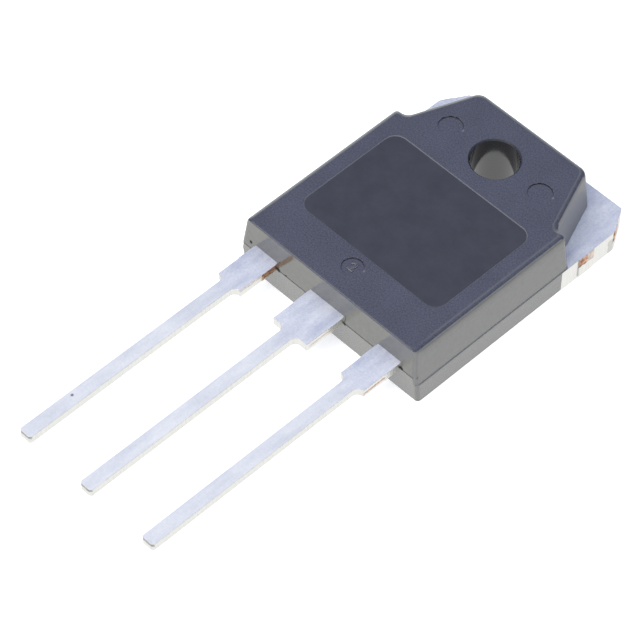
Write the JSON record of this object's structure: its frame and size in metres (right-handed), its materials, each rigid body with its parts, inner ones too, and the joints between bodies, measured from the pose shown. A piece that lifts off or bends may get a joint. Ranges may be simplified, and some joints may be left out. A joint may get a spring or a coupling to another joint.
{
  "type": "power transistor",
  "caption": "Flat plastic power transistor with straight tinned leads, a bare metal back and a plastic-lined screw hole in its tapered tab.",
  "frame": {"origin": "axis of the screw hole, on the heat-sink face", "axes": "+X across the leads, +Y from the lead tips to the metal tab, +Z from the heat-sink face to the top face"},
  "size_m": [0.0158, 0.0401, 0.0048],
  "materials": {
    "moulding": "charcoal moulding compound, fine matt texture on top, glossy drafted sides",
    "tinned_copper": "dull tin plating, bare copper where the metal was sheared after plating",
    "silicon": "polished silicon with metal pads",
    "solder": "dull solder",
    "bond_wire": "drawn aluminium wire"
  },
  "bodies": {
    "root": {"moulded_body": "moulding", "collector_header": "tinned_copper", "base_lead": "tinned_copper", "emitter_lead": "tinned_copper", "silicon_die": "silicon", "die_solder": "solder", "base_wire": "bond_wire", "emitter_wire_left": "bond_wire", "emitter_wire_right": "bond_wire"}
  },
  "joints": []
}
